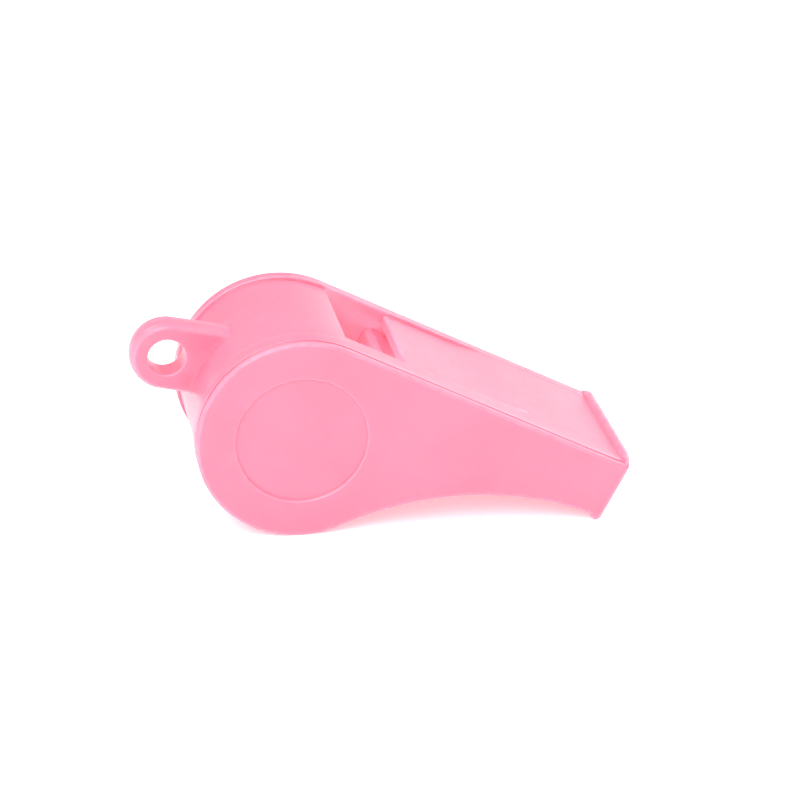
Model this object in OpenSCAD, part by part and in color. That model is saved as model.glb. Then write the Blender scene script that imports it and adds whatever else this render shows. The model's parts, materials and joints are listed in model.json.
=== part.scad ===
/* [Barrel] */
// Diameter of the side plates round the barrel
barrel_d = 22; // [19:0.5:26]
// Width of the whistle over both side plates
whistle_w = 19.6; // [17:0.2:23]
// Thickness of the barrel's curved wall
barrel_wall = 1.3; // [1:0.1:1.8]
// How far the side rims stand above the barrel wall
rim_h = 0.4; // [0.2:0.1:0.7]
// Width of the rim on the cover's side of the barrel
land_w = 1.8; // [1.4:0.1:2.4]

/* [Mouthpiece] */
// Distance from the barrel's axis to the end of the mouthpiece
mouth_l = 34; // [30:0.2:40]
// Height of the mouthpiece's side at its end, without the lips
tip_h = 6.5; // [5.8:0.1:7.5]
// Side wall of the windway next to the cover
near_wall = 2.8; // [2.5:0.1:3.4]
// Side wall of the body away from the cover
far_wall = 1.5; // [1.2:0.1:2]
// Wall above and below the windway at the mouth
mouth_wall = 1.2; // [0.9:0.1:1.5]
// Length of the lips along the mouthpiece
lip_l = 0.7; // [0.6:0.1:1.2]
// Rise of the upper lip above the side plates
lip_rise = 0.9; // [0.7:0.05:1.1]
// Drop of the lower lip below the side plates
lip_drop = 0.45; // [0.3:0.05:0.6]
// Length over which each end of the upper lip curves down to the side plates
lip_end_l = 2.2; // [1.5:0.1:3.2]

/* [Window] */
// Distance of the labium's edge past the barrel's axis
labium_x = 0.6; // [0.2:0.1:1]
// Length of the window from the labium to the roof
window_l = 7.3; // [6.6:0.1:8]
// Thickness of the roof's end at the window
roof_t = 1; // [0.8:0.1:1.3]
// Height of the windway's slot where it meets the window
slot_h = 1; // [0.7:0.1:1.3]
// How far the windway's floor runs out past the roof's end
nose_reach = 1.2; // [0.8:0.1:1.6]
// Radius of the floor's rounded nose
nose_r = 0.8; // [0.5:0.1:1]
// Thickness of the labium's edge
labium_t = 0.3; // [0.2:0.05:0.5]

/* [Side plates] */
// Thickness of the side cover
cover_t = 1.1; // [0.9:0.1:1.5]
// Radius of the side plates' rounded outer edges
edge_r = 0.35; // [0.25:0.05:0.6]
// Diameter of the round panel in each side plate
panel_d = 13.8; // [10:0.2:16]
// Depth of the round panels
panel_depth = 0.25; // [0.15:0.05:0.4]
// Height of the cover's locating ring inside the chamber
ring_h = 1; // [0.6:0.1:1.5]
// Thickness of the cover's locating ring
ring_t = 1; // [0.8:0.1:1.3]
// Clearance round the locating ring
ring_gap = 0.1; // [0.05:0.05:0.2]

/* [Lanyard eye] */
// Diameter of the hole in the eye
eye_hole_d = 4; // [3:0.1:4.6]
// Width of the ring of plastic round the hole
eye_ring_w = 1.85; // [1.5:0.05:2.3]
// Thickness of the eye
eye_t = 3; // [2.4:0.1:3.6]
// How far the eye's outer edge bulges between its two faces
eye_crown = 0.25; // [0.1:0.05:0.4]
// Distance from the barrel's axis to the hole's axis, along the mouthpiece
eye_reach = 14.4; // [14:0.1:17]
// Distance of the hole's axis below the barrel's axis
eye_drop = 0.2; // [0:0.1:1]
// Slope of the eye's arm to the mouthpiece
eye_slope = 14.5; // [8:0.5:20]

/* [Pea] */
// Diameter of the pea
pea_d = 10.5; // [9:0.1:11.5]
// Gap between the pea and the barrel wall that it rolls along
pea_gap = 0.3; // [0.2:0.05:0.5]

/* [Hidden] */
$fn = 180;

// Shares of the mouthpiece's length where its sunk top starts and stops rising to the rims
ramp_start_share = 0.44;
ramp_end_share = 0.66;
// Share of the barrel wall that the bevel under the labium runs back for each unit of height
bevel_share = 1.5;
// Share of the upper lip's rise by which the arc of its curved ends would pass over its top
lip_crest_share = 0.1;
// Share of the side plates' edge radius by which the lips end short of the side faces
lip_inset_share = 1.2;
// Share of that radius which the edges of the mouthpiece have
mouth_edge_share = 0.85;

// The model is drawn lying on its far side plate: X runs along the mouthpiece from the barrel's
// axis, Y up from the barrel's axis to the mouthpiece's top, and Z across the whistle to the cover.
cut = 0.5 * edge_r;
barrel_r = barrel_d / 2;
wall_r = barrel_r - rim_h;
chamber_r = wall_r - barrel_wall;
tip_y = barrel_r - tip_h;

// Levels across the whistle
near_z = whistle_w / 2;
far_z = -near_z;
seam_z = near_z - cover_t;
land_z = seam_z - land_w;
windway_near_z = seam_z - near_wall;
windway_far_z = far_z + far_wall;

// The underside's arc is level at the mouth and touches the barrel's circle
arc_r = (mouth_l * mouth_l + tip_y * tip_y - barrel_r * barrel_r) / (2 * (barrel_r + tip_y));
arc_y = tip_y - arc_r;
arc_angle = atan2(arc_y, mouth_l);
cut_angle = asin(cut / arc_r);
mouth_edge_r = mouth_edge_share * edge_r;
throat_x = barrel_r * cos(arc_angle);
throat_y = barrel_r * sin(arc_angle);

// Windway and window
window_x = labium_x + window_l;
roof_y = wall_r - roof_t;
floor_y = roof_y - slot_h;
nose_x = window_x - nose_reach;
mouth_top_y = barrel_r - mouth_wall;
mouth_floor_y = tip_y + rim_h + mouth_wall;
labium_y = sqrt(wall_r * wall_r - labium_x * labium_x) - labium_t;
bevel_x = labium_x - bevel_share * barrel_wall;
bevel_y = sqrt(chamber_r * chamber_r - bevel_x * bevel_x);

// Lips
lip_r = lip_l / 2;
lip_x = mouth_l - lip_r;
upper_lip_y = barrel_r + lip_rise - lip_r;
lower_lip_y = tip_y - lip_drop + lip_r;
lip_root = mouth_wall / 2;
lip_near_z = near_z - lip_inset_share * edge_r;
lip_crest = (1 + lip_crest_share) * lip_rise;
lip_end_r = (pow(lip_end_l + cut, 2) + lip_crest * lip_crest) / (2 * lip_crest);

// Lanyard eye
eye_r = eye_hole_d / 2 + eye_ring_w;
crown_r = (eye_t * eye_t / 4 + eye_crown * eye_crown) / (2 * eye_crown);
eye_z = (far_z + seam_z) / 2;
eye_arm_l = eye_reach - chamber_r / 2;

// The whistle stands on its barrel and its lower lip
stand_tilt = atan2(lower_lip_y, lip_x) + asin((barrel_r - lip_r) / norm([lip_x, lower_lip_y]));
front_x = lip_x * cos(stand_tilt) + upper_lip_y * sin(stand_tilt) + lip_r;
back_x = -eye_reach * cos(stand_tilt) - eye_drop * sin(stand_tilt) - eye_r;
middle_x = (front_x + back_x) / 2;

// Pea at rest in the lowest part of the chamber
pea_orbit_r = chamber_r - pea_gap - pea_d / 2;
pea_z = (windway_far_z + seam_z) / 2;

// Turns the drawing up and stands it on the barrel and the lower lip
module stand() {
    translate([-middle_x, 0, barrel_r])
        rotate([0, stand_tilt, 0])
        rotate([90, 0, 0])
        children();
}

// What a rounded edge leaves of a square corner at the origin
module corner_waste(r) {
    difference() {
        translate([-r, -r])
            square(r + cut);
        translate([-r, -r])
            circle(r);
    }
}

// Slice of the whistle's side outline between two levels, drawn in from the plates by inset
module plate(from_z, to_z, inset) {
    translate([0, 0, from_z]) {
        cylinder(r = barrel_r - inset, h = to_z - from_z);
        difference() {
            linear_extrude(to_z - from_z)
                polygon([
                    [0, 0],
                    [0, barrel_r - inset],
                    [ramp_start_share * mouth_l, barrel_r - inset],
                    [ramp_end_share * mouth_l, barrel_r],
                    [mouth_l, barrel_r],
                    [mouth_l, tip_y - rim_h],
                    [2 * throat_x, 2 * throat_y],
                ]);
            translate([mouth_l, arc_y, -cut])
                cylinder(r = arc_r + inset, h = to_z - from_z + 2 * cut);
        }
    }
}

// Bead of a lip on its stem, which is rooted in the wall under the level base_y
module lip(from_z, to_z, base_y, rise) {
    translate([mouth_l - lip_l, base_y, from_z]) {
        translate([lip_r, rise - lip_r, 0])
            cylinder(r = lip_r, h = to_z - from_z);
        translate([0, -lip_root, 0])
            cube([lip_l, rise - lip_r + lip_root, to_z - from_z]);
    }
}

// Both lips between two levels
module lips(from_z, to_z) {
    lip(from_z, to_z, barrel_r, lip_rise);
    translate([0, tip_y + rim_h, 0])
        mirror([0, 1, 0])
        lip(from_z, to_z, 0, lip_drop + rim_h);
}

// Waste over the upper lip's curved end on the cover's side
module lip_end_waste() {
    translate([mouth_l - lip_l - cut, barrel_r, lip_near_z])
        rotate([90, 0, 90])
        linear_extrude(lip_l + 2 * cut)
        difference() {
            translate([0, -lip_end_l])
                square([lip_crest + cut, lip_end_l + cut]);
            translate([lip_crest - lip_end_r, -lip_end_l])
                circle(lip_end_r);
        }
}

// Waste of the rounded edges round the cover's face
module edge_waste() {
    translate([0, 0, near_z]) {
        rotate([0, 0, 90])
            rotate_extrude(angle = 270 + arc_angle)
            translate([barrel_r, 0])
            corner_waste(edge_r);
        translate([mouth_l, arc_y, 0])
            rotate([0, 0, 90 - cut_angle])
            rotate_extrude(angle = 90 + arc_angle + 2 * cut_angle)
            translate([arc_r, 0])
            mirror([1, 0])
            corner_waste(mouth_edge_r);
        translate([-cut, barrel_r, 0])
            rotate([90, 0, 90])
            linear_extrude(mouth_l + 2 * cut)
            corner_waste(mouth_edge_r);
        translate([mouth_l, barrel_r + cut, 0])
            rotate([90, 0, 0])
            linear_extrude(tip_h + 2 * cut)
            corner_waste(mouth_edge_r);
    }
}

// Side wall between the windway and the cover, from start_x to the mouth, with a slanting start
module inner_wall(start_x, bottom_y, top_y) {
    intersection() {
        plate(windway_near_z, seam_z, 0);
        translate([0, top_y, 0])
            rotate([90, 0, 0])
            linear_extrude(top_y - bottom_y)
            polygon([
                [start_x - near_wall, seam_z],
                [start_x - near_wall, land_z],
                [start_x, windway_near_z],
                [mouth_l + cut, windway_near_z],
                [mouth_l + cut, seam_z],
            ]);
    }
}

// Air's way: the window and the windway behind it, over the floor with its rounded nose
module air_way() {
    difference() {
        translate([0, 0, windway_far_z])
            linear_extrude(windway_near_z - windway_far_z)
            polygon([
                [labium_x, barrel_r + lip_rise],
                [window_x, barrel_r + lip_rise],
                [window_x, roof_y],
                [mouth_l, mouth_top_y],
                [mouth_l + cut, mouth_top_y],
                [mouth_l + cut, 0],
                [0, 0],
                [bevel_x, bevel_y],
                [labium_x, labium_y],
            ]);
        translate([0, 0, windway_far_z - cut])
            linear_extrude(windway_near_z - windway_far_z + 2 * cut)
            polygon([
                [nose_x, -cut],
                [nose_x, floor_y - nose_r],
                [nose_x + nose_r, floor_y],
                [mouth_l, mouth_floor_y],
                [mouth_l + 2 * cut, mouth_floor_y],
                [mouth_l + 2 * cut, -cut],
            ]);
        translate([nose_x + nose_r, floor_y - nose_r, windway_far_z - cut])
            cylinder(r = nose_r, h = windway_near_z - windway_far_z + 2 * cut);
    }
}

// Outline of the eye's section on both sides of its middle, with bulging outer edges
module eye_section() {
    intersection() {
        square([2 * eye_r, eye_t], center = true);
        translate([eye_r - crown_r, 0])
            circle(crown_r);
        translate([crown_r - eye_r, 0])
            circle(crown_r);
    }
}

// Lanyard eye with its arm, which runs on into the chamber until that is cut out
module eye() {
    translate([-eye_reach, -eye_drop, eye_z])
        rotate([0, 0, eye_slope]) {
            rotate_extrude()
                intersection() {
                    eye_section();
                    translate([0, -eye_t])
                        square([2 * eye_r, 2 * eye_t]);
                }
            rotate([90, 0, 90])
                linear_extrude(eye_arm_l)
                eye_section();
        }
}

// Round panel sunk in the cover's face
module panel() {
    translate([0, 0, near_z - panel_depth])
        cylinder(d = panel_d, h = panel_depth + cut);
}

module body_shell() {
    color("pink")
        stand()
        difference() {
            union() {
                difference() {
                    union() {
                        plate(far_z, windway_far_z, 0);
                        plate(far_z, seam_z, rim_h);
                        plate(land_z, seam_z, 0);
                        inner_wall(labium_x, 0, barrel_r);
                        inner_wall(throat_x, -barrel_r, 0);
                    }
                    mirror([0, 0, 1])
                        edge_waste();
                }
                lips(-lip_near_z, seam_z);
                eye();
            }
            translate([0, 0, windway_far_z])
                cylinder(r = chamber_r, h = seam_z - windway_far_z + cut);
            air_way();
            translate([-eye_reach, -eye_drop, eye_z - eye_t])
                cylinder(d = eye_hole_d, h = 2 * eye_t);
            lip_end_waste();
            mirror([0, 0, 1]) {
                panel();
                lip_end_waste();
            }
        }
}

module side_cover() {
    color("hotpink")
        stand() {
            difference() {
                union() {
                    difference() {
                        plate(seam_z, near_z, 0);
                        edge_waste();
                    }
                    lips(seam_z, lip_near_z);
                }
                panel();
                lip_end_waste();
            }
            translate([0, 0, seam_z - ring_h])
                difference() {
                    cylinder(r = chamber_r - ring_gap, h = ring_h + cover_t / 2);
                    translate([0, 0, -cut])
                        cylinder(r = chamber_r - ring_gap - ring_t, h = ring_h + cut);
                }
        }
}

module pea() {
    color("burlywood")
        translate([-middle_x, -pea_z, barrel_r - pea_orbit_r])
        sphere(pea_d / 2);
}

body_shell();
side_cover();
pea();
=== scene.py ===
"""Moulded pea whistle: a body shell, a welded side cover and a loose cork pea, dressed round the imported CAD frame."""
import json
import math

import bmesh
import bpy
import numpy as np
from bpy.props import FloatProperty, FloatVectorProperty, PointerProperty
from mathutils import Matrix, Vector


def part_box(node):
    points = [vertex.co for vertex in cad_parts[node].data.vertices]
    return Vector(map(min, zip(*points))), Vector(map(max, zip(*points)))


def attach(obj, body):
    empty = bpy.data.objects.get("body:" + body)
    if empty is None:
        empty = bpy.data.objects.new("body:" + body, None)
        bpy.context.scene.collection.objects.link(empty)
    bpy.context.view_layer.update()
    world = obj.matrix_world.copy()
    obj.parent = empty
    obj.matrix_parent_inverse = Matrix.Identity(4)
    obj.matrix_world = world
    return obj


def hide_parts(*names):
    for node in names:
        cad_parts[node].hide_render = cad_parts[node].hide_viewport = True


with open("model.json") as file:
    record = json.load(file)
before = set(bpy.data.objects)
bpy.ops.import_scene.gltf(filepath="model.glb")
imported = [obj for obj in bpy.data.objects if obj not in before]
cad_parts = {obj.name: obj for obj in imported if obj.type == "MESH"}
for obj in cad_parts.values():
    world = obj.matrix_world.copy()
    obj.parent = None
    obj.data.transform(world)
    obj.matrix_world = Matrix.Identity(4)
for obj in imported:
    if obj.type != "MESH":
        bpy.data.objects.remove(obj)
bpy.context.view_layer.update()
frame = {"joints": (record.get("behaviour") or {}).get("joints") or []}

bl_info = {
    "name": "Pea Whistle",
    "version": (1, 0, 0),
    "blender": (4, 5, 0),
    "location": "View3D > Sidebar > Whistle",
    "description": "Models a moulded pea whistle, its finishes and its studio",
    "category": "Add Mesh",
}

MM = 0.001
# The barrel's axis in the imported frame, read from the joint that the pea turns on
BARREL_AXIS = Vector(frame["joints"][0]["pos_m"])


def length(name, millimetres, description):
    """A length property, given in millimetres."""
    return FloatProperty(
        name=name,
        description=description,
        default=millimetres * MM,
        min=0,
        unit="LENGTH",
        subtype="DISTANCE",
        precision=6,
    )


def colour(name, rgb, description):
    """A colour property, in linear values."""
    return FloatVectorProperty(name=name, description=description, default=rgb, size=3, min=0, max=1, subtype="COLOR")


def amount(name, value, description, unit="NONE"):
    """A plain number property."""
    return FloatProperty(name=name, description=description, default=value, unit=unit)


class WhistleShape(bpy.types.PropertyGroup):
    """Sizes of the body shell and the side cover."""

    barrel_r: length("Barrel radius", 11, "Radius of the side plates round the barrel")
    width: length("Width", 19.6, "Width over both side plates")
    barrel_wall: length("Barrel wall", 1.3, "Thickness of the barrel's curved wall")
    rim_h: length("Rim height", 0.4, "How far the rims stand above the barrel wall")
    far_wall: length("Far wall", 1.5, "Thickness of the far side plate")
    cover_t: length("Cover thickness", 1.1, "Thickness of the side cover")
    land_w: length("Rim width on the barrel", 1.8, "Width of the near rim on the barrel")
    near_wall: length("Rim width on the mouthpiece", 2.8, "Width of the near rim along the mouthpiece")
    jog_back: length("Rim step start", 1.65, "How far behind the barrel's axis the near rim starts to widen")
    jog_front: length("Rim step end", 0.55, "How far past the barrel's axis the near rim has its full width")
    mouth_l: length("Mouth distance", 34, "Distance from the barrel's axis to the mouth")
    tip_h: length("Mouth height", 6.5, "Height of the side plates at the mouth")
    ramp_start: length("Ramp start", 14.96, "Where the sunk top starts to rise to the rims")
    ramp_end: length("Ramp end", 22.44, "Where the sunk top meets the rims")
    edge_r: length("Plate edge radius", 0.38, "Radius of the side plates' rounded outer edges")
    crest_r: length("Rim edge radius", 0.15, "Radius of the rims' inner edges")
    crease_r: length("Rim corner radius", 0.22, "Radius of the hollow corners at the foot of the rims")
    seam_w: length("Seam groove", 0.08, "Width and depth of the groove on each side of the welded seam")
    groove: length("Rim groove", 0.06, "Depth of the fine line along the foot of the near rim")
    land_round: length("Land round", 0.9, "Width over which the land falls towards the seam")
    land_fall: length("Land fall", 0.11, "How far the land falls towards the seam")
    cover_round: length("Cover round", 0.7, "Width of the cover's rounded edge at the seam")
    rim_share: amount("Rim at the mouth", 0.16, "Share of the rims' height that goes on to the mouth")
    lip_l: length("Lip length", 0.7, "Length of the lips along the mouthpiece")
    lip_rise: length("Upper lip rise", 0.8, "Rise of the upper lip above the side plates")
    lip_edge_r: length("Lip edge radius", 0.2, "Radius of the upper lip's rounded top")
    lip_lean: amount("Lip lean", math.radians(15), "Lean of the upper lip's back", "ROTATION")
    lip_drop: length("Lower lip drop", 0.45, "Drop of the lower lip below the side plates")
    low_lip_r: length("Lower lip radius", 0.6, "Radius of the lower lip's bead")
    low_hollow_r: length("Lower lip hollow", 0.6, "Radius of the hollow behind the lower lip")
    lip_end_l: length("Lip end length", 2.5, "Length over which the upper lip curves down at each end")
    lip_hollow_r: length("Lip hollow radius", 0.16, "Radius of the hollow corner behind the upper lip")
    corner_r: length("Mouth corner radius", 0.42, "Radius of the side plates' upper corner at the mouth")
    panel_r: length("Panel radius", 6.9, "Radius of the round panels in the side plates")
    panel_depth: length("Panel depth", 0.25, "Depth of the round panels")
    ring_h: length("Locating ring height", 1, "Height of the cover's locating ring")
    ring_t: length("Locating ring thickness", 1, "Thickness of the cover's locating ring")
    ring_gap: length("Locating ring gap", 0.1, "Clearance round the locating ring")


class WhistleAir(bpy.types.PropertyGroup):
    """Sizes of the window and the windway."""

    labium_x: length("Labium distance", 0.6, "Distance of the labium's edge past the barrel's axis")
    window_l: length("Window length", 7.3, "Length of the window from the labium to the roof")
    roof_t: length("Roof thickness", 1, "Thickness of the roof's end at the window")
    slot_h: length("Slot height", 1, "Height of the windway where it meets the window")
    nose_reach: length("Nose reach", 1.2, "How far the windway's floor runs out past the roof")
    nose_r: length("Nose radius", 0.8, "Radius of the floor's rounded nose")
    labium_t: length("Labium thickness", 0.3, "Thickness of the labium's edge")
    bevel_run: length("Labium bevel run", 1.95, "Length of the bevel under the labium")
    mouth_wall: length("Mouth wall", 1.2, "Wall above and below the windway at the mouth")
    labium_r: length("Labium edge radius", 0.08, "Radius of the labium's upper edge")
    roof_r: length("Roof edge radius", 0.28, "Radius of the roof's upper edge")
    mouth_r: length("Mouth opening flare", 0.25, "Width of the flare round the mouth's opening")
    clear: length("Window side clearance", 0.03, "How far the window's sides stand in from the rims")


class WhistleEye(bpy.types.PropertyGroup):
    """Sizes of the lanyard eye."""

    hole_r: length("Hole radius", 2, "Radius of the lanyard hole")
    ring_w: length("Ring width", 1.85, "Width of the ring round the hole")
    thickness: length("Thickness", 3, "Thickness of the eye")
    crown: length("Edge crown", 0.25, "How far the outer edge bulges between the faces")
    reach: length("Reach", 14.4, "Distance from the barrel's axis back to the hole's axis")
    drop: length("Drop", 0.2, "Distance of the hole's axis below the barrel's axis")
    slope: amount("Slope", math.radians(14.5), "Slope of the arm to the mouthpiece", "ROTATION")
    offset: length("Offset", 0.55, "Distance of the eye's middle from the whistle's middle, away from the cover")
    edge_r: length("Edge radius", 0.4, "Radius of the edges of the eye's faces")
    hole_edge_r: length("Hole edge radius", 0.14, "Radius of the hole's edges")
    root_r: length("Root radius", 0.5, "Fillet between the arm's faces and the barrel")
    side_root_r: length("Side root radius", 0.3, "Fillet between the arm's upper and lower sides and the barrel")
    flash: length("Mould line height", 0.025, "Height of the fine mould line round the eye")


class WhistlePea(bpy.types.PropertyGroup):
    """Size and surface of the pea."""

    radius: length("Radius", 5.25, "Radius of the pea")
    pit_depth: length("Pit depth", 0.16, "Depth of the pits in the cork")
    pit_size: length("Pit size", 0.9, "Size of the pits in the cork")


class WhistleFinish(bpy.types.PropertyGroup):
    """Colours and surface of the plastic and the cork."""

    pink: colour("Pink", (0.93, 0.207, 0.308), "Colour of the plastic")
    pale_pink: colour("Pale pink", (0.935, 0.225, 0.335), "Colour of the plastic's paler flow marks")
    # This colour is also the painted light on the upper lip and the painted highlight along the near rim
    rubbed_and_lit_pink: colour("Rubbed pink", (0.94, 0.29, 0.40), "Colour of the plastic's rubbed edges")
    # This colour darkens the seam's groove for dust and for painted shade
    seam_dust_and_shade_pink: colour("Seam pink", (0.90, 0.145, 0.24), "Colour of the plastic in the seam's groove")
    cork: colour("Cork", (0.46, 0.27, 0.13), "Colour of the cork")
    cork_dark: colour("Dark cork", (0.17, 0.085, 0.035), "Colour of the cork's pores")
    roughness: amount("Plastic roughness", 0.32, "Roughness of the plastic")
    depth: length("Light depth", 2, "How deep light goes into the plastic")


class WhistleStudio(bpy.types.PropertyGroup):
    """Floor, lights and camera."""

    floor: colour("Floor", (0.92, 0.92, 0.92), "Colour of the floor")
    floor_glow: amount("Floor glow", 0.35, "Light that the lit table gives off")
    sky: amount("Sky strength", 0.52, "Strength of the light from all round")
    front_power: amount("Front light", 5.5, "Power of the soft box above the camera")
    back_power: amount("Back light", 0.58, "Power of the low white card behind the whistle")
    top_back_power: amount("Upper back light", 2.2, "Power of the soft box high behind the mouthpiece")
    top_left_power: amount("Upper left light", 1.4, "Power of the soft box high behind the lanyard eye")
    window_power: amount("Window light", 0.0014, "Power of what shines through the thin walls into the window")
    windway_power: amount("Windway light", 0.0004, "Power of what shines through the thin roof into the windway")
    camera_place: FloatVectorProperty(
        name="Camera place",
        description="Where the camera stands",
        default=(-0.05845273, -0.28814867, 0.14480716),
        subtype="TRANSLATION",
        unit="LENGTH",
    )
    azimuth: amount("Azimuth", math.radians(11.99994), "Turn of the camera's view from +Y to +X", "ROTATION")
    elevation: amount("Elevation", math.radians(24.48117), "How far down the camera looks", "ROTATION")
    roll: amount("Roll", math.radians(2.60), "Turn of the camera about its view", "ROTATION")
    lens: amount("Lens", 136.15, "Focal length in millimetres")


# Modelling steps that the operators share

def deselect():
    """Leaves edit mode with nothing selected."""
    if bpy.context.mode != "OBJECT":
        bpy.ops.object.mode_set(mode="OBJECT")
    bpy.ops.object.select_all(action="DESELECT")


def pick(piece):
    """Makes the piece the only selected and active object."""
    deselect()
    piece.select_set(True)
    bpy.context.view_layer.objects.active = piece


def skin(name, rows, capped=True):
    """A skin through rows of points: a circle is laid on the first row and extruded from row to row."""
    deselect()
    bpy.ops.mesh.primitive_circle_add(vertices=len(rows[0]), radius=MM, fill_type="NGON" if capped else "NOTHING")
    piece = bpy.context.object
    piece.name = piece.data.name = name
    bpy.ops.object.mode_set(mode="EDIT")
    for number, row in enumerate(rows):
        if number:
            bpy.ops.mesh.extrude_region_move()
        mesh = bmesh.from_edit_mesh(piece.data)
        column = mesh.verts.layers.int.get("column")
        if column is None:
            column = mesh.verts.layers.int.new("column")
            for place, vertex in enumerate(mesh.verts):
                vertex[column] = place
        for vertex in mesh.verts:
            if vertex.select:
                vertex.co = row[vertex[column]]
        bmesh.update_edit_mesh(piece.data)
    if not capped:
        bpy.ops.mesh.select_all(action="SELECT")
        bpy.ops.mesh.remove_doubles(threshold=0.001 * MM)
    bpy.ops.mesh.select_all(action="SELECT")
    bpy.ops.mesh.normals_make_consistent(inside=False)
    bpy.ops.object.mode_set(mode="OBJECT")
    piece.data.attributes.remove(piece.data.attributes["column"])
    return piece


def prism(name, outline, from_y, to_y):
    """A flat outline in X and Z, extruded across the whistle from from_y to to_y."""
    return skin(name, [[Vector((x, y, z)) for x, z in outline] for y in (from_y, to_y)])


def turned(name, profile, segments=180, capped=True):
    """A profile of radii and Y levels turned round the barrel's axis."""
    turns = [2 * math.pi * k / segments for k in range(segments)]
    rows = [[Vector((r * math.cos(a), y, r * math.sin(a))) for a in turns] for r, y in profile]
    return skin(name, rows, capped)


def combine(piece, tool, operation):
    """Joins the tool to the piece or cuts it out, and removes the tool."""
    pick(piece)
    modifier = piece.modifiers.new("combine", "BOOLEAN")
    modifier.operation = operation
    modifier.object = tool
    modifier.solver = "MANIFOLD"
    bpy.ops.object.modifier_apply(modifier=modifier.name)
    bpy.data.objects.remove(tool)
    return piece


def arc(centre, radius, from_angle, to_angle, steps):
    """Points on an arc in X and Z, both ends included. Angles are in degrees."""
    turns = np.radians(np.linspace(from_angle, to_angle, steps + 1))
    return np.c_[centre[0] + radius * np.cos(turns), centre[1] + radius * np.sin(turns)]


def run(start, end, steps):
    """Points on a straight line, both ends included."""
    return np.linspace(start, end, steps + 1)


def slope(start, end):
    """Rise per length from one point to another, in X and Z."""
    return (end[1] - start[1]) / (end[0] - start[0])


def smooth_share(value, low, high):
    """0 below low, 1 above high, with a smooth S between them."""
    share = np.clip((value - low) / (high - low), 0, 1)
    return share * share * (3 - 2 * share)


def drawn_in(points, insets):
    """A closed outline moved inwards at each point by its inset."""
    ahead = np.roll(points, -1, axis=0) - points
    ahead /= np.linalg.norm(ahead, axis=1)[:, None]
    normals = np.c_[-ahead[:, 1], ahead[:, 0]]
    before = np.roll(normals, 1, axis=0)
    mitre = (normals + before) / (1 + np.sum(normals * before, axis=1))[:, None]
    return points + mitre * insets[:, None]


def stand(piece):
    """Sets the finished piece on its barrel and lower lip, with its place in its mesh."""
    shape = bpy.context.scene.whistle_shape
    lip_r = shape.lip_l / 2
    lip = Vector((shape.mouth_l - lip_r, shape.barrel_r - shape.tip_h - shape.lip_drop + lip_r))
    tilt = math.atan2(lip.y, lip.x) + math.asin((shape.barrel_r - lip_r) / lip.length)
    pick(piece)
    piece.rotation_euler = (0, tilt, 0)
    piece.location = (BARREL_AXIS.x, 0, BARREL_AXIS.z)
    bpy.ops.object.transform_apply(location=True, rotation=True, scale=True)


def smooth(piece):
    """Smooth shading that keeps the flats flat and the sharp edges sharp."""
    pick(piece)
    bpy.ops.object.shade_smooth_by_angle(angle=math.radians(32))
    modifier = piece.modifiers.new("flats", "WEIGHTED_NORMAL")
    modifier.keep_sharp = True
    modifier.weight = 60
    bpy.ops.object.modifier_apply(modifier=modifier.name)


def merge_collapsed(piece):
    """Merges vertices that the boolean tools left on one spot, so that no collapsed face stays."""
    mesh = bmesh.new()
    mesh.from_mesh(piece.data)
    bmesh.ops.remove_doubles(mesh, verts=mesh.verts, dist=0.00001 * MM)
    mesh.to_mesh(piece.data)
    mesh.free()


def mark_edges(piece):
    """Writes two attributes on the faces of a piece that isn't stood up yet.

    One marks the tight outer edges as rubbed and lays painted light on the upper lip and a painted highlight along the
    near rim's edge; the other marks the seam's groove, darkened for dust and painted shade.
    """
    shape = bpy.context.scene.whistle_shape
    seam, top = shape.cover_t - shape.width / 2, shape.barrel_r
    lip_x = shape.mouth_l - 1.2 * MM
    soft_bend, tight_bend = 0.9, 3.2  # radians per millimetre
    # Strengths of the painted light on the upper lip and of the painted highlight along the near rim's edge
    lip_painted_light, rim_painted_highlight = 1.5, 1.2
    # A face of the groove neither stands across the seam nor lies along it
    groove_turn = (0.15, 0.97)
    mesh = bmesh.new()
    mesh.from_mesh(piece.data)
    wear_and_light = mesh.faces.layers.float.new("edge_wear_and_light")
    dust_and_shade = mesh.faces.layers.float.new("seam_dust_and_shade")
    areas = [face.calc_area() for face in mesh.faces]
    for face in mesh.faces:
        bend = 0
        for edge in face.edges:
            reach = sum(areas[side.index] for side in edge.link_faces) / 2
            bend = max(bend, edge.calc_face_angle_signed(0) * edge.calc_length() / max(reach, 1e-12))
        x, y, z = face.calc_center_median()
        # Painted light on the upper lip and a painted highlight along the near rim's edge, added to the rubbing of
        # tight edges
        lip = smooth_share(x, lip_x, lip_x + 0.4 * MM) * smooth_share(z, top - 0.4 * MM, top + 0.5 * MM)
        rim = smooth_share(y, seam + 1.1 * MM, seam + 0.6 * MM) * smooth_share(x, -1 * MM, 6 * MM)
        rim *= y > seam and z > top - 0.3 * MM
        face[wear_and_light] = float(max(smooth_share(bend * MM, soft_bend, tight_bend), lip_painted_light * lip, rim_painted_highlight * rim))
        # The seam's groove is darkened for dust and for painted shade in the crease
        in_groove = abs(y - seam) < shape.seam_w and groove_turn[0] < abs(face.normal.y) < groove_turn[1]
        face[dust_and_shade] = float(in_groove and x < lip_x)
    mesh.to_mesh(piece.data)
    mesh.free()


def finish_piece(piece, body, node, material):
    """Dresses a finished piece, sets it in place and lets it stand for its CAD node."""
    merge_collapsed(piece)
    mark_edges(piece)
    stand(piece)
    smooth(piece)
    piece.data.materials.clear()
    piece.data.materials.append(material)
    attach(piece, body)
    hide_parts(node)


# The side outline and the rows of the moulding

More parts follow.
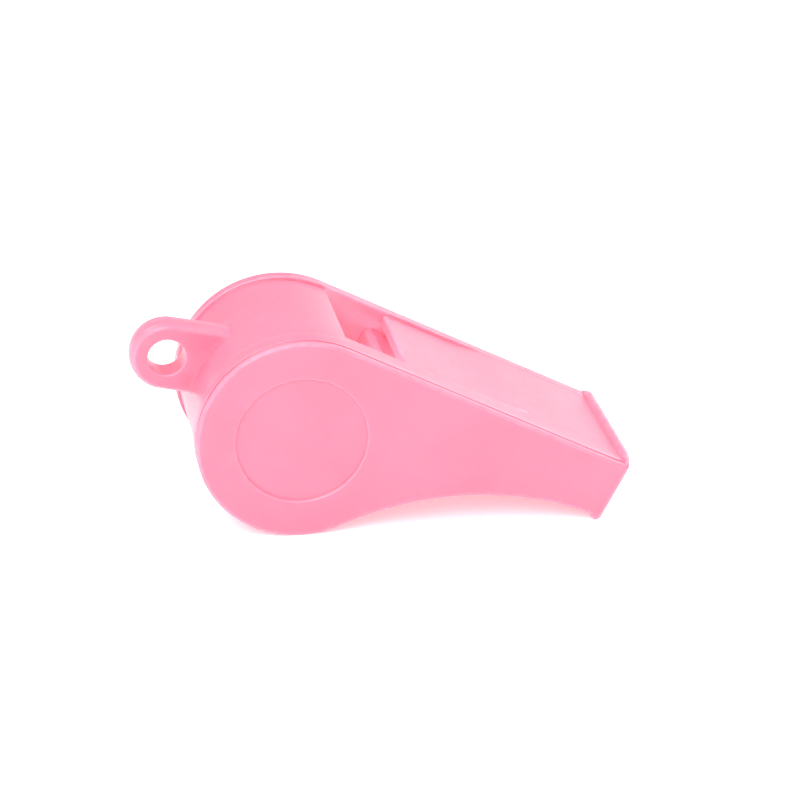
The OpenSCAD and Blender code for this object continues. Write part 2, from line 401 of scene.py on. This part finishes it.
class SideOutline:
    """The whistle's side outline, and what the rows across the width need at each of its points.

    It runs from the barrel's top round its back and its underside to the mouth, and back along the top.
    """

    fade = 8  # points over which the rims' step fades out at the lips
    lip_side = 0.9 * MM  # how far below the top the mouth's end is part of the upper lip

    def __init__(self, shape):
        self.shape = shape
        top, barrel_end = shape.barrel_r, 0.8 * MM
        lower = self.lower_parts()
        plain, lipped, foot = self.mouth_parts()
        back = [
            run((foot, top), (shape.ramp_end, top), 6)[:-1],
            run((shape.ramp_end, top), (shape.ramp_start, top), 30)[:-1],
            run((shape.ramp_start, top), (barrel_end, top), 8)[:-1],
            run((barrel_end, top), (0, top), 5)[:-1],
        ]
        self.plain = np.concatenate(lower + plain + back)
        self.lipped = np.concatenate(lower + lipped + back)
        starts = np.cumsum([0] + [len(part) for part in lower])
        self.set_steps(starts, starts[-1] + sum(len(part) for part in plain))

    def lower_parts(self):
        """The barrel's round, the underside's arc, the lower lip with its hollow, and the mouth's lower end."""
        shape = self.shape
        r, mouth = shape.barrel_r, shape.mouth_l
        tip = r - shape.tip_h
        under_r = (mouth * mouth + tip * tip - r * r) / (2 * (r + tip))
        under = (mouth, tip - under_r)
        throat = math.degrees(math.atan2(under[1], mouth))
        bead_r, hollow_r = shape.low_lip_r, shape.low_hollow_r
        bead = (mouth - bead_r, tip - shape.lip_drop + bead_r)
        rise = bead[1] - (tip - hollow_r)
        hollow = (bead[0] - math.sqrt((hollow_r + bead_r) ** 2 - rise * rise), tip - hollow_r)
        lean = math.degrees(math.atan2(rise, bead[0] - hollow[0]))
        under_end = math.degrees(math.acos((hollow[0] - mouth) / under_r))
        return [
            arc((0, 0), r, 90, 360 + throat, 229)[:-1],
            arc(under, under_r, 180 + throat, under_end, 64)[:-1],
            arc(hollow, hollow_r, 90, lean, self.fade)[:-1],
            arc(bead, bead_r, 180 + lean, 360, 16)[:-1],
            run((mouth, bead[1]), (mouth, r - self.lip_side), 6)[:-1],
        ]

    def mouth_parts(self):
        """The mouth's upper end without and with its lip, point for point, and the X of the lip's foot."""
        shape = self.shape
        r, mouth, corner_r = shape.barrel_r, shape.mouth_l, shape.corner_r
        below = r - self.lip_side
        bead_r, root_r = shape.lip_edge_r, shape.lip_hollow_r
        top = r + shape.lip_rise - bead_r
        lean, lean_x, lean_z = math.degrees(shape.lip_lean), math.sin(shape.lip_lean), math.cos(shape.lip_lean)
        back = (mouth - bead_r * (1 + lean_z), top + bead_r * lean_x)
        wall = (back[1] + root_r * lean_x - r - root_r) / lean_z
        base = (back[0] - wall * lean_x, back[1] - wall * lean_z)
        foot = base[0] - root_r * lean_z
        plain = [
            run((mouth, below), (mouth, r - corner_r), 8)[:-1],
            arc((mouth - corner_r, r - corner_r), corner_r, 0, 90, 10)[:-1],
            run((mouth - corner_r, r), (foot, r), 22)[:-1],
        ]
        lipped = [
            run((mouth, below), (mouth, top), 8)[:-1],
            arc((mouth - bead_r, top), bead_r, 0, 90, 10)[:-1],
            arc((mouth - bead_r, top), bead_r, 90, 180 - lean, 10)[:-1],
            run(back, base, 4)[:-1],
            arc((foot, r + root_r), root_r, -lean, -90, 8)[:-1],
        ]
        return plain, lipped, foot

    def set_steps(self, starts, lip_end):
        """Sets the rims' step, the fall to the seam, the seam's groove and the near rim's jog at each point.

        starts holds where each of the lower parts starts and where the last one ends.
        """
        shape = self.shape
        x, z = self.plain.T
        upper = z > 0
        fading = smooth_share(np.arange(self.fade), -1, self.fade)
        sinking = (1 - shape.rim_share) * smooth_share(x, shape.ramp_start, shape.ramp_end)
        step = np.where(upper & (x > 0), 1 - sinking, 1.0)
        step[starts[2]:starts[3]] = 1 - fading
        step[starts[3]:lip_end] = 0
        step[lip_end - self.fade:lip_end] = shape.rim_share * fading
        self.step = step * shape.rim_h
        # The rim falls to the seam on the top and round the barrel's back, and not at the lips
        fall = np.where(upper | (x < 0), smooth_share(z, -9 * MM, -3 * MM), 0)
        fall[starts[1]:lip_end] = 0
        fall[lip_end:lip_end + 2] = (0.3, 0.8)
        self.fall = fall * shape.land_fall
        # The seam's groove all but closes at the upper lip
        self.seam = np.full(len(x), shape.seam_w)
        self.seam[starts[-1]:lip_end] *= 0.15
        # The near rim widens along the mouthpiece, over its top and beneath it
        over = smooth_share(x, -shape.jog_back, shape.jog_front)
        beneath = smooth_share(x, 7 * MM, 9.5 * MM)
        self.jog = np.where(upper, over, beneath) * (shape.near_wall - shape.land_w)

    def row(self, y, inset=0.0, depth=0.0, on_rim=False):
        """The outline's points at the level y, drawn in by inset and by depth shares of the rim's step."""
        shape = self.shape
        side = min(shape.width / 2 - abs(y), shape.lip_end_l)
        end_r = (shape.lip_end_l ** 2 + shape.lip_rise ** 2) / (2 * shape.lip_rise)
        rise = (shape.lip_rise - end_r + math.sqrt(end_r ** 2 - (shape.lip_end_l - side) ** 2)) / shape.lip_rise
        points = self.plain + rise * (self.lipped - self.plain)
        points = drawn_in(points, inset + depth * self.step)
        levels = y + (self.jog if on_rim else 0 * self.jog)
        return [Vector((x, level, z)) for (x, z), level in zip(points, levels)]


def edge_rows(outline, face_y, inwards, steps=8):
    """Rows of a plate's rounded outer edge, from its face at face_y inwards."""
    r = outline.shape.edge_r
    turns = [math.radians(90 * k / steps) for k in range(steps + 1)]
    return [outline.row(face_y + inwards * r * (1 - math.cos(a)), r * (1 - math.sin(a))) for a in turns]


def rim_rows(outline, wall_y, outwards, on_rim, steps=4):
    """Rows of a rim's inner edge, wall and hollow corner, from the rim down to the sunk surface."""
    crest, crease, rim_h = outline.shape.crest_r, outline.shape.crease_r, outline.shape.rim_h
    turns = [math.radians(90 * k / steps) for k in range(steps + 1)]
    rows = []
    for a in turns:
        depth = crest * (1 - math.cos(a)) / rim_h
        rows.append(outline.row(wall_y + outwards * crest * (1 - math.sin(a)), 0, depth, on_rim))
    for a in turns:
        groove = outline.shape.groove * math.sin(2 * a) if on_rim else 0
        depth = 1 - crease * (1 - math.sin(a)) / rim_h
        rows.append(outline.row(wall_y - outwards * crease * (1 - math.cos(a)), groove, depth, on_rim))
    return rows


def shell_rows(outline):
    """Rows of the body shell's outside, from its far face to the seam."""
    shape = outline.shape
    side = shape.width / 2
    wall = side - shape.far_wall
    seam = shape.cover_t - side
    land = seam + shape.land_w
    rows = edge_rows(outline, side, -1)
    rows += [outline.row(y) for y in np.linspace(side - shape.edge_r, wall + shape.crest_r, 8)[1:-1]]
    rows += rim_rows(outline, wall, 1, False)
    rows += [outline.row(y, 0, 1) for y in np.linspace(wall - shape.crease_r, side - shape.lip_end_l, 6)[1:]]
    rows += [outline.row(y, 0, 1) for y in (0.0, land + 2 * MM)]
    rows += rim_rows(outline, land, -1, True)[::-1]
    for y in np.linspace(shape.lip_end_l - side, seam + shape.seam_w, 10):
        share = max(0, 1 - (y - seam) / shape.land_round)
        rows.append(outline.row(y, outline.fall * share * share))
    rows.append(outline.row(seam + 0.55 * shape.seam_w, outline.fall + 0.3 * outline.seam))
    rows.append(outline.row(seam, outline.fall + outline.seam))
    return rows


def cover_rows(outline):
    """Rows of the side cover's outside, from the seam to its face."""
    shape = outline.shape
    side = shape.width / 2
    seam = shape.cover_t - side
    groove = outline.fall + outline.seam
    rows = []
    for share in (0, 0.12, 0.3, 0.5, 0.75, 1):
        rows.append(outline.row(seam - share * shape.cover_round, groove * (1 - share) ** 1.1))
    rows.append(outline.row((seam - shape.cover_round + shape.edge_r - side) / 2))
    return rows + edge_rows(outline, -side, 1)[::-1]


def panel_tool(shape, face_y, outwards):
    """Waste of a round panel with a rounded upper edge and a hollow corner round its floor."""
    floor_r, edge_r, past = 0.12 * MM, 0.2 * MM, 0.3 * MM
    floor_y = face_y - outwards * shape.panel_depth
    profile = [(shape.panel_r - floor_r, 0)]
    for a in np.radians([30, 60, 90]):
        profile.append((shape.panel_r - floor_r * (1 - math.sin(a)), floor_r * (1 - math.cos(a))))
    for a in np.radians([20, 40, 60, 76]):
        lift = shape.panel_depth - edge_r + edge_r * math.sin(a)
        profile.append((shape.panel_r + edge_r * (1 - math.cos(a)), max(lift, floor_r * 1.02)))
    profile.append((profile[-1][0] + past, profile[-1][1] + past))
    return turned("panel_tool", [(r, floor_y + outwards * lift) for r, lift in profile], 256)


def air_tool(shape, air):
    """Waste of the window and the windway, over the floor with its rounded nose."""
    side = shape.width / 2
    wall_r = shape.barrel_r - shape.rim_h
    chamber_r = wall_r - shape.barrel_wall
    roof = wall_r - air.roof_t
    floor = roof - air.slot_h
    window = air.labium_x + air.window_l
    nose = window - air.nose_reach
    mouth_top = shape.barrel_r - air.mouth_wall
    mouth_floor = shape.barrel_r - shape.tip_h + shape.rim_h + air.mouth_wall
    edge_z = math.sqrt(wall_r ** 2 - air.labium_x ** 2)
    high = shape.barrel_r + shape.lip_rise + MM
    past = shape.mouth_l + MM
    bevel_x = air.labium_x - air.bevel_run
    bevel_z = math.sqrt(chamber_r ** 2 - bevel_x ** 2)
    roof_slope = slope((window, roof), (shape.mouth_l, mouth_top))
    floor_slope = slope((nose + air.nose_r, floor), (shape.mouth_l, mouth_floor))
    labium_edge = arc((air.labium_x - air.labium_r, edge_z - air.labium_r), air.labium_r, 8, 84, 5)
    roof_edge = arc((window + air.roof_r, wall_r - air.roof_r), air.roof_r, 180, 98, 7)
    outline = [
        (window, roof),
        (past, mouth_top + roof_slope * MM),
        (past, mouth_floor + floor_slope * MM),
        *arc((nose + air.nose_r, floor - air.nose_r), air.nose_r, 90, 180, 12),
        (nose, 0),
        (0, 0),
        (bevel_x, bevel_z),
        (air.labium_x, edge_z - air.labium_t),
        *labium_edge,
        (labium_edge[-1][0] - 0.4 * MM, high),
        (roof_edge[-1][0] + 0.5 * MM, high),
        *roof_edge[::-1],
    ]
    near = shape.cover_t + shape.near_wall - side
    return prism("air_tool", outline, near + air.clear, side - shape.far_wall - air.clear)


def mouth_tool(shape, air):
    """Waste of the flare round the windway's opening at the mouth."""
    side = shape.width / 2
    near, far = shape.cover_t + shape.near_wall - side, side - shape.far_wall
    bottom = shape.barrel_r - shape.tip_h + shape.rim_h + air.mouth_wall
    top = shape.barrel_r - air.mouth_wall

    def opening(x, grow):
        """The opening's corners at x, grown by grow."""
        low, high = (near - grow, bottom - grow), (far + grow, top + grow)
        return [Vector((x, y, z)) for y, z in (low, (high[0], low[1]), high, (low[0], high[1]))]

    rows = []
    for a in np.radians([0, 25, 50, 70]):
        rows.append(opening(shape.mouth_l - air.mouth_r * (1 - math.sin(a)), air.mouth_r * (1 - math.cos(a))))
    rows.append(opening(shape.mouth_l + 0.3 * MM, 0.66 * air.mouth_r + 0.75 * MM))
    return skin("mouth_tool", rows)


def eye_axes(eye):
    """The eye's directions along and across its arm and its hole's centre, in X and Z."""
    along = np.array([math.cos(eye.slope), math.sin(eye.slope)])
    return along, np.array([-along[1], along[0]]), np.array([-eye.reach, -eye.drop])


def eye_edge(eye):
    """The eye's edge from its near face to its far face: depths in from the outline, and levels."""
    half = eye.thickness / 2
    crown_r = (half ** 2 + eye.crown ** 2) / (2 * eye.crown)
    turns = np.radians(np.linspace(0, 80, 7))
    depths = eye.crown + eye.edge_r * (1 - np.sin(turns))
    levels = half - eye.edge_r * (1 - np.cos(turns))
    shares = np.linspace(-1, 1, 15)[1:-1]
    bulges = crown_r - np.sqrt(crown_r ** 2 - (shares * half * 0.85) ** 2)
    depths = np.concatenate([depths, bulges, depths[::-1]])
    levels = np.concatenate([-levels, shares * levels[-1], levels[::-1]])
    return list(zip(depths, levels))


def eye_piece(shape, eye):
    """The lanyard eye with its arm, as one closed skin with a fine mould line round it."""
    along, across, centre = eye_axes(eye)
    outer = eye.hole_r + eye.ring_w
    arm = eye.reach - shape.barrel_r / 2
    half = eye.thickness / 2
    turns = np.radians(np.linspace(90, 270, 73))
    base = [centre + outer * (math.cos(a) * along + math.sin(a) * across) for a in turns]
    base += [centre - outer * across + s * along for s in np.linspace(0, arm, 17)[1:]]
    base += [centre + arm * along + v * across for v in np.linspace(-outer, outer, 14)[1:-1]]
    base += [centre + outer * across + s * along for s in np.linspace(arm, 0, 17)[:-1]]
    base = np.array(base)
    place = (base - centre) @ along
    lean = (base - centre) @ across
    outwards = np.where((place > 0)[:, None], np.sign(lean)[:, None] * across, (base - centre) / outer)
    outwards[(np.abs(lean) < outer * 0.999) & (place > 0)] = 0
    rim = base - outwards * eye.flash
    rays = (base - centre) / np.linalg.norm(base - centre, axis=1)[:, None]
    edge = eye_edge(eye)

    def row(points, level):
        """The points at a level across the eye, from its middle."""
        return [Vector((x, eye.offset + level, z)) for x, z in points]

    def face(sign):
        """Rows of one face, from the hole's wall to the start of its outer edge."""
        rows = []
        for a in np.radians(np.linspace(0, 90, 5)):
            points = centre + rays * (eye.hole_r + eye.hole_edge_r * (1 - math.cos(a)))
            rows.append(row(points, sign * (half - eye.hole_edge_r * (1 - math.sin(a)))))
        start, end = centre + rays * (eye.hole_r + eye.hole_edge_r), rim - outwards * edge[0][0]
        return rows + [row(start + (end - start) * share, sign * half) for share in (0.35, 0.7)]

    rows = face(-1)
    for depth, level in edge:
        if level == 0:
            rows += [row(rim, -eye.flash), row(base, 0), row(rim, eye.flash)]
        else:
            rows.append(row(rim - outwards * depth, level))
    rows += face(1)[::-1]
    return skin("eye", rows + [rows[0]], capped=False)


def root_fillet(shape, eye):
    """The hollow fillet round the arm where it meets the barrel, as a closed ring of skin."""
    along, across, centre = eye_axes(eye)
    wall_r = shape.barrel_r - shape.rim_h
    top = eye.hole_r + eye.ring_w - eye.flash
    edge = np.array(eye_edge(eye))
    upper = np.c_[edge[:, 1], top - edge[:, 0]]
    steps = 18
    across_face = np.linspace(upper[0, 1], -upper[0, 1], steps + 2)[1:-1]
    far_face = np.c_[np.full(steps, edge[-1, 1]), across_face]
    near_face = np.c_[np.full(steps, edge[0, 1]), across_face[::-1]]
    loop = np.concatenate([upper, far_face, upper[::-1] * (1, -1), near_face])
    ahead = np.roll(loop, -1, axis=0) - np.roll(loop, 1, axis=0)
    ahead /= np.linalg.norm(ahead, axis=1)[:, None]
    normals = np.c_[-ahead[:, 1], ahead[:, 0]]
    radius = eye.side_root_r + (eye.root_r - eye.side_root_r) * normals[:, 0] ** 2
    sunk = 0.01 * MM

    def row(away, grow):
        """The arm's outline, grown by grow, at the distance away from the barrel's wall."""
        places = loop + normals * grow[:, None]
        height = centre @ across + places[:, 1]
        reach = -(centre @ along) - np.sqrt(wall_r ** 2 - height ** 2) - away
        flat = centre + reach[:, None] * along + places[:, 1:] * across
        return [Vector((x, eye.offset + level, z)) for (x, z), level in zip(flat, places[:, 0])]

    turns = np.radians(np.linspace(0, 90, 11))
    rows = [row(radius * (1 - math.sin(a)) - sunk, radius * (1 - math.cos(a)) - sunk) for a in turns]
    deep = np.full_like(radius, 0.4 * MM)
    rows += [row(-deep, radius), row(-deep, -deep), row(radius, -deep)]
    return skin("root_fillet", rows + [rows[0]], capped=False)


# Finishes

def new_material(name):
    """An empty node material with a shader, its output and Object coordinates."""
    material = bpy.data.materials.new(name)
    material.use_nodes = True
    nodes, links = material.node_tree.nodes, material.node_tree.links
    shader = nodes["Principled BSDF"]
    places = nodes.new("ShaderNodeTexCoord")
    return material, nodes, links, shader, places.outputs["Object"]


def noise(nodes, links, places, scale, detail):
    """A noise pattern on Object coordinates, in features per metre."""
    pattern = nodes.new("ShaderNodeTexNoise")
    pattern.inputs["Scale"].default_value = scale
    pattern.inputs["Detail"].default_value = detail
    links.new(places, pattern.inputs["Vector"])
    return pattern.outputs["Fac"]


def face_mark(nodes, name):
    """The value of an attribute of the faces."""
    mark = nodes.new("ShaderNodeAttribute")
    mark.attribute_name = name
    return mark.outputs["Fac"]


def spread(nodes, links, value, low, high, to_low=0.0, to_high=1.0):
    """A value stretched from one range to another."""
    stretch = nodes.new("ShaderNodeMapRange")
    for socket, number in zip(("From Min", "From Max", "To Min", "To Max"), (low, high, to_low, to_high)):
        stretch.inputs[socket].default_value = number
    links.new(value, stretch.inputs["Value"])
    return stretch.outputs["Result"]


def blend_colours(nodes, links, share, first, second):
    """A mix of two colours or colour sockets."""
    mix = nodes.new("ShaderNodeMix")
    mix.data_type = "RGBA"
    links.new(share, mix.inputs["Factor"])
    for socket, value in zip((mix.inputs[6], mix.inputs[7]), (first, second)):
        if isinstance(value, bpy.types.NodeSocket):
            links.new(value, socket)
        else:
            socket.default_value = (*value, 1)
    return mix.outputs[2]


def arithmetic(nodes, links, operation, first, second):
    """A sum, difference or product of two values or value sockets."""
    node = nodes.new("ShaderNodeMath")
    node.operation = operation
    for socket, value in zip(node.inputs, (first, second)):
        if isinstance(value, bpy.types.NodeSocket):
            links.new(value, socket)
        else:
            socket.default_value = value
    return node.outputs["Value"]


def plastic(name, seed):
    """Glossy, slightly translucent pink plastic with faint flow marks, fine handling marks, rubbed edges, painted light
    on the upper lip, a painted highlight along the near rim and a seam groove darkened for dust and painted shade.
    """
    finish = bpy.context.scene.whistle_finish
    material, nodes, links, shader, places = new_material(name)
    shift = nodes.new("ShaderNodeMapping")
    shift.inputs["Location"].default_value = (seed, seed * 0.7, seed * 1.3)
    links.new(places, shift.inputs["Vector"])
    places = shift.outputs["Vector"]
    flow = spread(nodes, links, noise(nodes, links, places, scale=70, detail=2), 0.35, 0.65)
    handled = noise(nodes, links, places, scale=900, detail=4)
    patchy = spread(nodes, links, handled, 0.3, 0.7, 0.25, 0.8)
    # Tight edges turn paler where rubbed; the upper lip gets painted light and the near rim a painted highlight
    worn_and_lit = arithmetic(nodes, links, "MULTIPLY", face_mark(nodes, "edge_wear_and_light"), patchy)
    tone = blend_colours(nodes, links, flow, tuple(finish.pink), tuple(finish.pale_pink))
    tone = blend_colours(nodes, links, worn_and_lit, tone, tuple(finish.rubbed_and_lit_pink))
    # The seam's groove turns darker, for dust and for painted shade
    tone = blend_colours(nodes, links, face_mark(nodes, "seam_dust_and_shade"), tone, tuple(finish.seam_dust_and_shade_pink))
    links.new(tone, shader.inputs["Base Color"])
    gloss = spread(nodes, links, handled, 0.3, 0.7, finish.roughness - 0.03, finish.roughness + 0.04)
    dull = arithmetic(nodes, links, "MULTIPLY", worn_and_lit, 0.1)
    links.new(arithmetic(nodes, links, "ADD", gloss, dull), shader.inputs["Roughness"])
    bump = nodes.new("ShaderNodeBump")
    bump.inputs["Strength"].default_value = 0.1
    bump.inputs["Distance"].default_value = 0.004 * MM
    links.new(handled, bump.inputs["Height"])
    links.new(bump.outputs["Normal"], shader.inputs["Normal"])
    shader.inputs["IOR"].default_value = 1.49
    shader.inputs["Subsurface Weight"].default_value = 1.0
    shader.inputs["Subsurface Radius"].default_value = (1.0, 0.6, 0.5)
    shader.inputs["Subsurface Scale"].default_value = finish.depth
    return material


def cork():
    """Matt cork with dark pores and pale grains."""
    finish = bpy.context.scene.whistle_finish
    material, nodes, links, shader, places = new_material("cork")
    cells = nodes.new("ShaderNodeTexVoronoi")
    cells.inputs["Scale"].default_value = 900
    links.new(places, cells.inputs["Vector"])
    grain = spread(nodes, links, noise(nodes, links, places, scale=420, detail=5), 0.35, 0.65)
    pores = spread(nodes, links, noise(nodes, links, places, scale=1100, detail=3), 0.56, 0.66)
    tone = blend_colours(nodes, links, grain, tuple(finish.cork), tuple(min(1, 1.35 * c) for c in finish.cork))
    tone = blend_colours(nodes, links, pores, tone, tuple(finish.cork_dark))
    links.new(tone, shader.inputs["Base Color"])
    links.new(spread(nodes, links, grain, 0, 1, 0.72, 0.9), shader.inputs["Roughness"])
    shader.inputs["Specular IOR Level"].default_value = 0.2
    bump = nodes.new("ShaderNodeBump")
    bump.inputs["Strength"].default_value = 0.5
    bump.inputs["Distance"].default_value = 0.08 * MM
    sunk = arithmetic(nodes, links, "MULTIPLY", pores, 0.8)
    height = arithmetic(nodes, links, "SUBTRACT", cells.outputs["Distance"], sunk)
    links.new(height, bump.inputs["Height"])
    links.new(bump.outputs["Normal"], shader.inputs["Normal"])
    return material


def paper():
    """Plain pale paper for the floor."""
    studio = bpy.context.scene.whistle_studio
    material, nodes, links, shader, places = new_material("floor_paper")
    tone = tuple(studio.floor)
    fibres = noise(nodes, links, places, scale=300, detail=3)
    tone = blend_colours(nodes, links, fibres, tone, tuple(0.99 * c for c in tone))
    links.new(tone, shader.inputs["Base Color"])
    shader.inputs["Roughness"].default_value = 0.7
    shader.inputs["Emission Color"].default_value = (1, 1, 1, 1)
    shader.inputs["Emission Strength"].default_value = studio.floor_glow
    return material


# Operators

class WHISTLE_OT_body_shell(bpy.types.Operator):
    """Model the body moulding with its rims, window, windway, lips and lanyard eye"""

    bl_idname = "whistle.body_shell"
    bl_label = "Body Shell"
    bl_options = {"REGISTER", "UNDO"}

    def execute(self, context):
        shape, air, eye = context.scene.whistle_shape, context.scene.whistle_air, context.scene.whistle_eye
        side = shape.width / 2
        chamber_r = shape.barrel_r - shape.rim_h - shape.barrel_wall
        wall = side - shape.far_wall
        corner = 0.4 * MM
        piece = skin("whistle_body", shell_rows(SideOutline(shape)))
        combine(piece, eye_piece(shape, eye), "UNION")
        combine(piece, root_fillet(shape, eye), "UNION")
        chamber = []
        for a in np.radians(range(0, 91, 15)):
            chamber.append((chamber_r - corner * (1 - math.sin(a)), wall - corner * (1 - math.cos(a))))
        chamber.append((chamber_r, -side))
        combine(piece, turned("chamber_tool", chamber, 240), "DIFFERENCE")
        combine(piece, air_tool(shape, air), "DIFFERENCE")
        combine(piece, mouth_tool(shape, air), "DIFFERENCE")
        combine(piece, panel_tool(shape, side, 1), "DIFFERENCE")
        finish_piece(piece, "whistle", "body_shell", plastic("pink_plastic_body", 0.0))
        return {"FINISHED"}


class WHISTLE_OT_side_cover(bpy.types.Operator):
    """Model the welded side cover with its round panel and its locating ring"""

    bl_idname = "whistle.side_cover"
    bl_label = "Side Cover"
    bl_options = {"REGISTER", "UNDO"}

    def execute(self, context):
        shape = context.scene.whistle_shape
        side = shape.width / 2
        seam = shape.cover_t - side
        outer = shape.barrel_r - shape.rim_h - shape.barrel_wall - shape.ring_gap
        inner = outer - shape.ring_t
        base, top, chamfer = seam - shape.cover_t / 2, seam + shape.ring_h, 0.15 * MM
        piece = skin("whistle_cover", cover_rows(SideOutline(shape)))
        ring = [
            (inner, base),
            (inner, top - chamfer),
            (inner + chamfer, top),
            (outer - chamfer, top),
            (outer, top - chamfer),
            (outer, base),
            (inner, base),
        ]
        combine(piece, turned("ring", ring, capped=False), "UNION")
        combine(piece, panel_tool(shape, -side, -1), "DIFFERENCE")
        finish_piece(piece, "whistle", "side_cover", plastic("pink_plastic_cover", 0.137))
        return {"FINISHED"}


class WHISTLE_OT_pea(bpy.types.Operator):
    """Model the loose cork pea in the chamber"""

    bl_idname = "whistle.pea"
    bl_label = "Pea"
    bl_options = {"REGISTER", "UNDO"}

    def execute(self, context):
        pea = context.scene.whistle_pea
        low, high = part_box("pea")
        centre = (low + high) / 2
        inside_box = 0.999  # keeps the fine sphere in the box of the solid's mesh
        deselect()
        bpy.ops.mesh.primitive_ico_sphere_add(subdivisions=7, radius=pea.radius * inside_box, location=centre)
        piece = context.object
        piece.name = piece.data.name = "cork_pea"
        bpy.ops.object.transform_apply(location=True, rotation=True, scale=True)
        pits = bpy.data.textures.new("cork_pits", "VORONOI")
        pits.noise_scale = pea.pit_size
        pits.distance_metric = "DISTANCE"
        pits.intensity, pits.contrast = 1.35, 4
        dents = piece.modifiers.new("pits", "DISPLACE")
        dents.texture = pits
        dents.texture_coords = "LOCAL"
        dents.strength = pea.pit_depth
        dents.mid_level = 1.0
        bpy.ops.object.modifier_apply(modifier=dents.name)
        bpy.ops.object.shade_smooth()
        piece.data.materials.append(cork())
        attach(piece, "pea")
        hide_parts("pea")
        return {"FINISHED"}


class WHISTLE_OT_studio(bpy.types.Operator):
    """Set up the pale floor, the soft lights and the camera"""

    bl_idname = "whistle.studio"
    bl_label = "Studio"
    bl_options = {"REGISTER", "UNDO"}

    def execute(self, context):
        studio = context.scene.whistle_studio
        deselect()
        bpy.ops.mesh.primitive_circle_add(vertices=128, radius=3, fill_type="NGON")
        floor = context.object
        floor.name = floor.data.name = "floor"
        floor.data.materials.append(paper())
        world = bpy.data.worlds.new("studio")
        world.use_nodes = True
        background = world.node_tree.nodes["Background"]
        background.inputs["Color"].default_value = (1, 1, 1, 1)
        background.inputs["Strength"].default_value = studio.sky
        context.scene.world = world
        middle = Vector((0, 0, 10 * MM))
        for name, place, size, power in (
            ("front_box", (-0.2, -0.45, 0.55), (0.5, 0.5), studio.front_power),
            ("back_card", (0.55, 0.65, 0.12), (0.8, 0.3), studio.back_power),
            ("top_back_box", (0.45, 0.35, 0.40), (0.3, 0.3), studio.top_back_power),
            ("top_left_box", (-0.35, 0.25, 0.55), (0.3, 0.3), studio.top_left_power),
        ):
            self.soft_box(name, Vector(place), size, power, middle - Vector(place))
        # Two small lights stand for what shines through the thin walls of the window and of the windway
        place, ahead = Vector((-3.9, -5.6, 16.6)) * MM, Vector((0, 7, -2.4))
        window = self.soft_box("window_light", place, (3 * MM, 3 * MM), studio.window_power, ahead)
        window.data.color = (1, 0.96, 0.86)
        place, ahead = Vector((5.33, 1.2, 13.9)) * MM, Vector((-4.43, 0, 1.86))
        windway = self.soft_box("windway_light", place, (12 * MM, 0.8 * MM), studio.windway_power, ahead)
        windway.data.color = (1, 0.9, 0.86)
        bpy.ops.object.camera_add()
        camera = context.object
        camera.name = "photo_camera"
        camera.data.lens = studio.lens
        camera.data.sensor_width = 36
        camera.data.clip_start, camera.data.clip_end = 0.01, 20
        ahead = Vector((
            math.sin(studio.azimuth) * math.cos(studio.elevation),
            math.cos(studio.azimuth) * math.cos(studio.elevation),
            -math.sin(studio.elevation),
        ))
        turn = ahead.to_track_quat("-Z", "Y").to_matrix() @ Matrix.Rotation(studio.roll, 3, "Z")
        camera.matrix_world = Matrix.Translation(studio.camera_place) @ turn.to_4x4()
        context.scene.camera = camera
        context.scene.view_settings.view_transform = "Standard"
        return {"FINISHED"}

    def soft_box(self, name, place, size, power, ahead):
        """An area light that looks ahead from its place."""
        bpy.ops.object.light_add(type="AREA", location=place)
        box = bpy.context.object
        box.name = name
        box.data.shape = "RECTANGLE"
        box.data.size, box.data.size_y = size
        box.data.energy = power
        box.visible_camera = False
        box.rotation_euler = ahead.to_track_quat("-Z", "Y").to_euler()
        return box


class WHISTLE_PT_panel(bpy.types.Panel):
    """Lists the whistle's pieces and its studio"""

    bl_idname = "WHISTLE_PT_panel"
    bl_label = "Whistle"
    bl_space_type = "VIEW_3D"
    bl_region_type = "UI"
    bl_category = "Whistle"

    def draw(self, context):
        for operator in OPERATORS:
            self.layout.operator(operator.bl_idname)
        for name in SETTINGS:
            settings = getattr(context.scene, name)
            box = self.layout.box()
            for key in settings.bl_rna.properties.keys():
                if key not in ("rna_type", "name"):
                    box.prop(settings, key)


OPERATORS = (WHISTLE_OT_body_shell, WHISTLE_OT_side_cover, WHISTLE_OT_pea, WHISTLE_OT_studio)
SETTINGS = {
    "whistle_shape": WhistleShape,
    "whistle_air": WhistleAir,
    "whistle_eye": WhistleEye,
    "whistle_pea": WhistlePea,
    "whistle_finish": WhistleFinish,
    "whistle_studio": WhistleStudio,
}


def register():
    """Registers the settings, the operators and the panel."""
    for settings in SETTINGS.values():
        bpy.utils.register_class(settings)
    for name, settings in SETTINGS.items():
        setattr(bpy.types.Scene, name, PointerProperty(type=settings))
    for operator in OPERATORS:
        bpy.utils.register_class(operator)
    bpy.utils.register_class(WHISTLE_PT_panel)


def unregister():
    """Removes what register added."""
    bpy.utils.unregister_class(WHISTLE_PT_panel)
    for operator in reversed(OPERATORS):
        bpy.utils.unregister_class(operator)
    for name, settings in SETTINGS.items():
        delattr(bpy.types.Scene, name)
        bpy.utils.unregister_class(settings)


def main():
    """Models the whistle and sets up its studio."""
    register()
    bpy.ops.whistle.body_shell()
    bpy.ops.whistle.side_cover()
    bpy.ops.whistle.pea()
    bpy.ops.whistle.studio()


if __name__ == "__main__":
    main()
